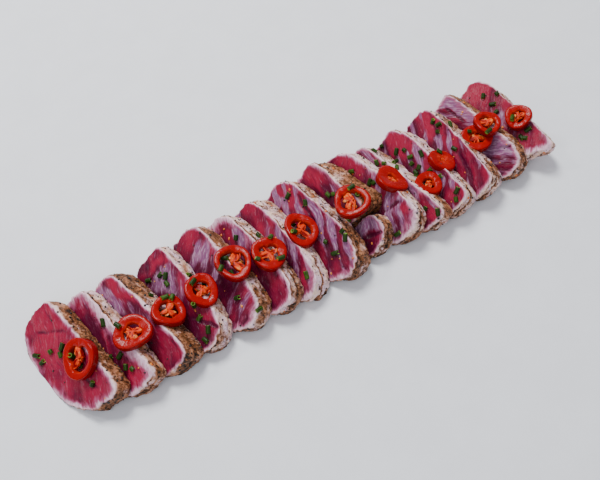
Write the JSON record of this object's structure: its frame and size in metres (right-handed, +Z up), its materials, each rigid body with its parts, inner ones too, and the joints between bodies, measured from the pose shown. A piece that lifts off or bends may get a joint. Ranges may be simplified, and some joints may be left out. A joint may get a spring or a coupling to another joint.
{
  "type": "sliced seared tuna steak",
  "caption": "Seared tuna loin cut into slices that lie fanned in a row, rare inside and browned at the rim, with chilli rings and chopped chives on top.",
  "frame": {"origin": "middle of the row's bounding box, on the surface that the slices rest on", "axes": "+Z up, +X along the row towards the end that the slices lean to, +Y across the row to its far side"},
  "size_m": [0.2922, 0.0674, 0.0279],
  "materials": {
    "seared_tuna": "moist raw flesh, matt browned rim",
    "chilli": "wet, glossy skin and flesh",
    "chive": "fresh, smooth"
  },
  "bodies": {
    "root": {"slice_01": "seared_tuna", "slice_02": "seared_tuna", "slice_03": "seared_tuna", "slice_04": "seared_tuna", "slice_05": "seared_tuna", "slice_06": "seared_tuna", "slice_07": "seared_tuna", "slice_08": "seared_tuna", "slice_09_upper": "seared_tuna", "slice_09_lower": "seared_tuna", "slice_10": "seared_tuna", "slice_11": "seared_tuna", "slice_12": "seared_tuna", "slice_13": "seared_tuna", "slice_14": "seared_tuna", "slice_15": "seared_tuna", "chilli_ring_01": "chilli", "chilli_ring_02": "chilli", "chilli_ring_03": "chilli", "chilli_ring_04": "chilli", "chilli_ring_05": "chilli", "chilli_ring_06": "chilli", "chilli_ring_07": "chilli", "chilli_ring_08": "chilli", "chilli_ring_09": "chilli", "chilli_ring_10": "chilli", "chilli_ring_11": "chilli", "chilli_ring_12": "chilli", "chilli_ring_13": "chilli", "chilli_ring_14": "chilli"}
  },
  "joints": []
}
